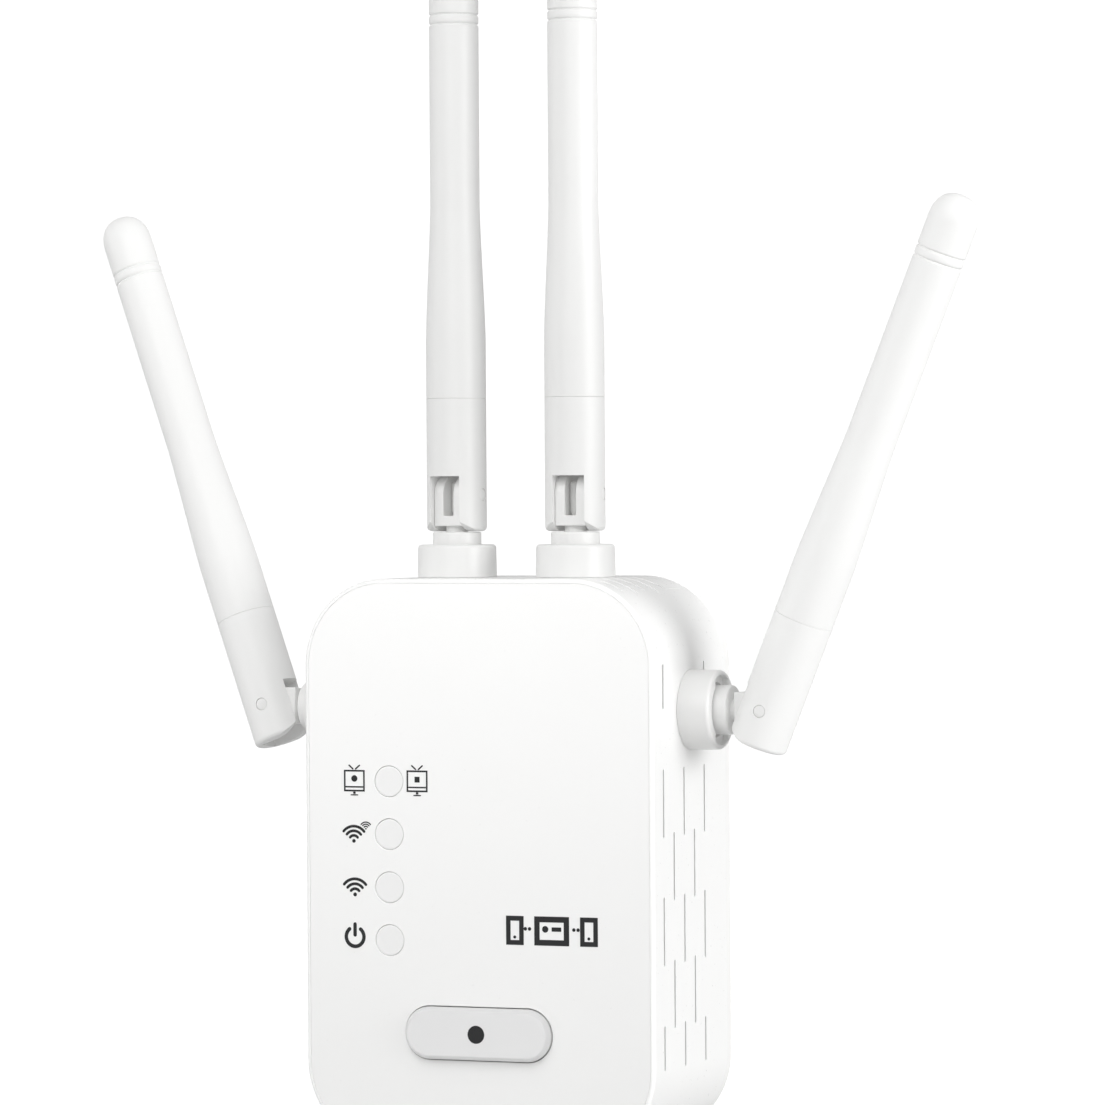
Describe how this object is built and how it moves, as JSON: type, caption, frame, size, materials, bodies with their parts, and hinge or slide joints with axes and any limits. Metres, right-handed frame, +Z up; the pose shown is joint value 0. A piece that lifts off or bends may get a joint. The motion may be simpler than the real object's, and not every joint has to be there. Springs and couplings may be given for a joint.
{
  "type": "wifi range extender",
  "caption": "Wall-plug wireless repeater: a rounded box with vented sides, a pill-shaped front button, round status lenses and hinged, swivelling stick antennas on the top and sides.",
  "frame": {"origin": "centre of the rear face, the face that rests on the wall", "axes": "+Z up, +Y into the wall out of the rear face, +X to the right seen from the front"},
  "size_m": [0.1618, 0.0542, 0.1996],
  "materials": {
    "white_shell": "gloss",
    "white_rear": "fine satin",
    "white_antenna": "satin",
    "white_neck": "satin",
    "black_cable": "satin",
    "brass": "drawn",
    "grey_button": "satin",
    "lens": "frosted",
    "led_package": "satin",
    "board": "solder resist",
    "insulator": "satin",
    "nickel": "nickel plated",
    "screw_steel": "plated",
    "tinned_steel": "tinned",
    "brown_plastic": "satin",
    "capacitor_sleeve": "shrink sleeve",
    "black_plastic": "satin"
  },
  "bodies": {
    "enclosure": {"button_switch_body": "black_plastic", "collar_side_left": "white_shell", "collar_side_right": "white_shell", "collar_top_left": "white_shell", "collar_top_right": "white_shell", "cover_screw_bottom_left": "screw_steel", "cover_screw_bottom_right": "screw_steel", "cover_screw_top_left": "screw_steel", "cover_screw_top_right": "screw_steel", "front_panel": "white_shell", "housing": "white_shell", "led_lens_1": "lens", "led_lens_2": "lens", "led_lens_3": "lens", "led_lens_4": "lens", "line_transformer": "black_plastic", "main_board": "board", "main_capacitor": "capacitor_sleeve", "network_jack_left": "black_plastic", "network_jack_right": "black_plastic", "plug_base": "insulator", "plug_blade_left": "nickel", "plug_blade_right": "nickel", "power_board": "board", "power_transformer": "brown_plastic", "rear_cover": "white_rear", "reset_switch": "tinned_steel", "rf_shield": "tinned_steel", "status_led_1": "led_package", "status_led_2": "led_package", "status_led_3": "led_package", "status_led_4": "led_package"},
    "swivel_top_left": {"neck_top_left": "white_neck", "cable_top_left": "black_cable"},
    "antenna_top_left": {"sleeve_top_left": "white_antenna", "radome_top_left": "white_antenna", "radiator_top_left": "brass"},
    "swivel_top_right": {"neck_top_right": "white_neck", "cable_top_right": "black_cable"},
    "antenna_top_right": {"sleeve_top_right": "white_antenna", "radome_top_right": "white_antenna", "radiator_top_right": "brass"},
    "swivel_side_left": {"neck_side_left": "white_neck", "cable_side_left": "black_cable"},
    "antenna_side_left": {"sleeve_side_left": "white_antenna", "radome_side_left": "white_antenna", "radiator_side_left": "brass"},
    "swivel_side_right": {"neck_side_right": "white_neck", "cable_side_right": "black_cable"},
    "antenna_side_right": {"sleeve_side_right": "white_antenna", "radome_side_right": "white_antenna", "radiator_side_right": "brass"},
    "front_button": {"front_button": "grey_button"},
    "button_switch_plunger": {"button_switch_plunger": "brown_plastic"},
    "reset_button": {"reset_button": "black_plastic"}
  },
  "joints": [
    {"name": "top_left_swivel", "type": "hinge", "parent": "enclosure", "child": "swivel_top_left", "pos_m": [-0.0108, -0.0188, 0.0475], "axis": [0, 0, -1], "range_deg": [-95, 85]},
    {"name": "top_left_fold", "type": "hinge", "parent": "swivel_top_left", "child": "antenna_top_left", "pos_m": [-0.0108, -0.0188, 0.0614], "axis": [0.9962, -0.0872, 0], "range_deg": [0, 90]},
    {"name": "top_right_swivel", "type": "hinge", "parent": "enclosure", "child": "swivel_top_right", "pos_m": [0.0108, -0.0188, 0.0475], "axis": [0, 0, 1], "range_deg": [-96.5, 83.5]},
    {"name": "top_right_fold", "type": "hinge", "parent": "swivel_top_right", "child": "antenna_top_right", "pos_m": [0.0108, -0.0188, 0.0614], "axis": [0.9936, 0.1132, 0], "range_deg": [0, 90]},
    {"name": "side_left_swivel", "type": "hinge", "parent": "enclosure", "child": "swivel_side_left", "pos_m": [-0.03135, -0.0188, 0.0255], "axis": [1, 0, 0], "range_deg": [-85, 95]},
    {"name": "side_left_fold", "type": "hinge", "parent": "swivel_side_left", "child": "antenna_side_left", "pos_m": [-0.04525, -0.0188, 0.0255], "axis": [0, 0.9962, -0.0872], "range_deg": [-69, 21]},
    {"name": "side_right_swivel", "type": "hinge", "parent": "enclosure", "child": "swivel_side_right", "pos_m": [0.03135, -0.0188, 0.0255], "axis": [1, 0, 0], "range_deg": [-90, 90]},
    {"name": "side_right_fold", "type": "hinge", "parent": "swivel_side_right", "child": "antenna_side_right", "pos_m": [0.04525, -0.0188, 0.0255], "axis": [0, -1, 0], "range_deg": [-68, 22]},
    {"name": "front_button_press", "type": "slide", "parent": "enclosure", "child": "front_button", "axis": [0, 1, 0], "range_m": [0, 0.0006], "stiffness_N_per_m": 900},
    {"name": "switch_plunger_travel", "type": "slide", "parent": "enclosure", "child": "button_switch_plunger", "axis": [0, 1, 0], "range_m": [0, 0.0006]},
    {"name": "reset_button_press", "type": "slide", "parent": "enclosure", "child": "reset_button", "axis": [0, 0, 1], "range_m": [0, 0.0006], "stiffness_N_per_m": 900}
  ],
  "couplings": [
    {"joint": "switch_plunger_travel", "follows": "front_button_press", "ratio": 1}
  ]
}
